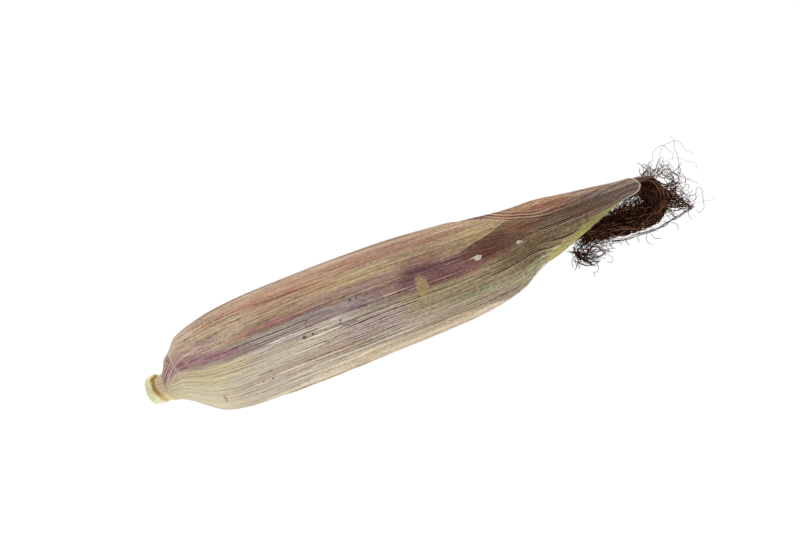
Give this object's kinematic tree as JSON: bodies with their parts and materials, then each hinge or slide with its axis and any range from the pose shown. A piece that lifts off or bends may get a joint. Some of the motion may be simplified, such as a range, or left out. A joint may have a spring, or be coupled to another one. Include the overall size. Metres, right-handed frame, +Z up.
{
  "type": "ear of purple corn in its husk",
  "caption": "Whole ear of corn lying on its side, closed in overlapping husk leaves, with a short cut shank at one end and a matted hank of dark dry silk at the other.",
  "frame": {"origin": "under the middle of the whole object's box, on the surface that the ear lies on", "axes": "+X along the ear from its cut shank to its silk, +Z up, +Y towards the side that the orange-brown outer leaf covers"},
  "size_m": [0.3108, 0.06, 0.053],
  "materials": {
    "husk_upper": "matte",
    "husk_front": "matte",
    "husk_back": "matte",
    "husk_inner": "satin",
    "husk_tip": "matte",
    "stalk": "satin",
    "kernels": "satin",
    "silk": "satin"
  },
  "bodies": {
    "root": {"husk_upper": "husk_upper", "husk_front": "husk_front", "husk_back": "husk_back", "husk_lower": "husk_back", "husk_inner_upper": "husk_tip", "husk_inner_lower": "husk_inner", "husk_inner_back": "husk_inner", "ear": "kernels", "shank": "stalk", "silk_hank": "silk", "silk_end_tuft": "silk", "silk_lower_tuft": "silk"}
  },
  "joints": []
}
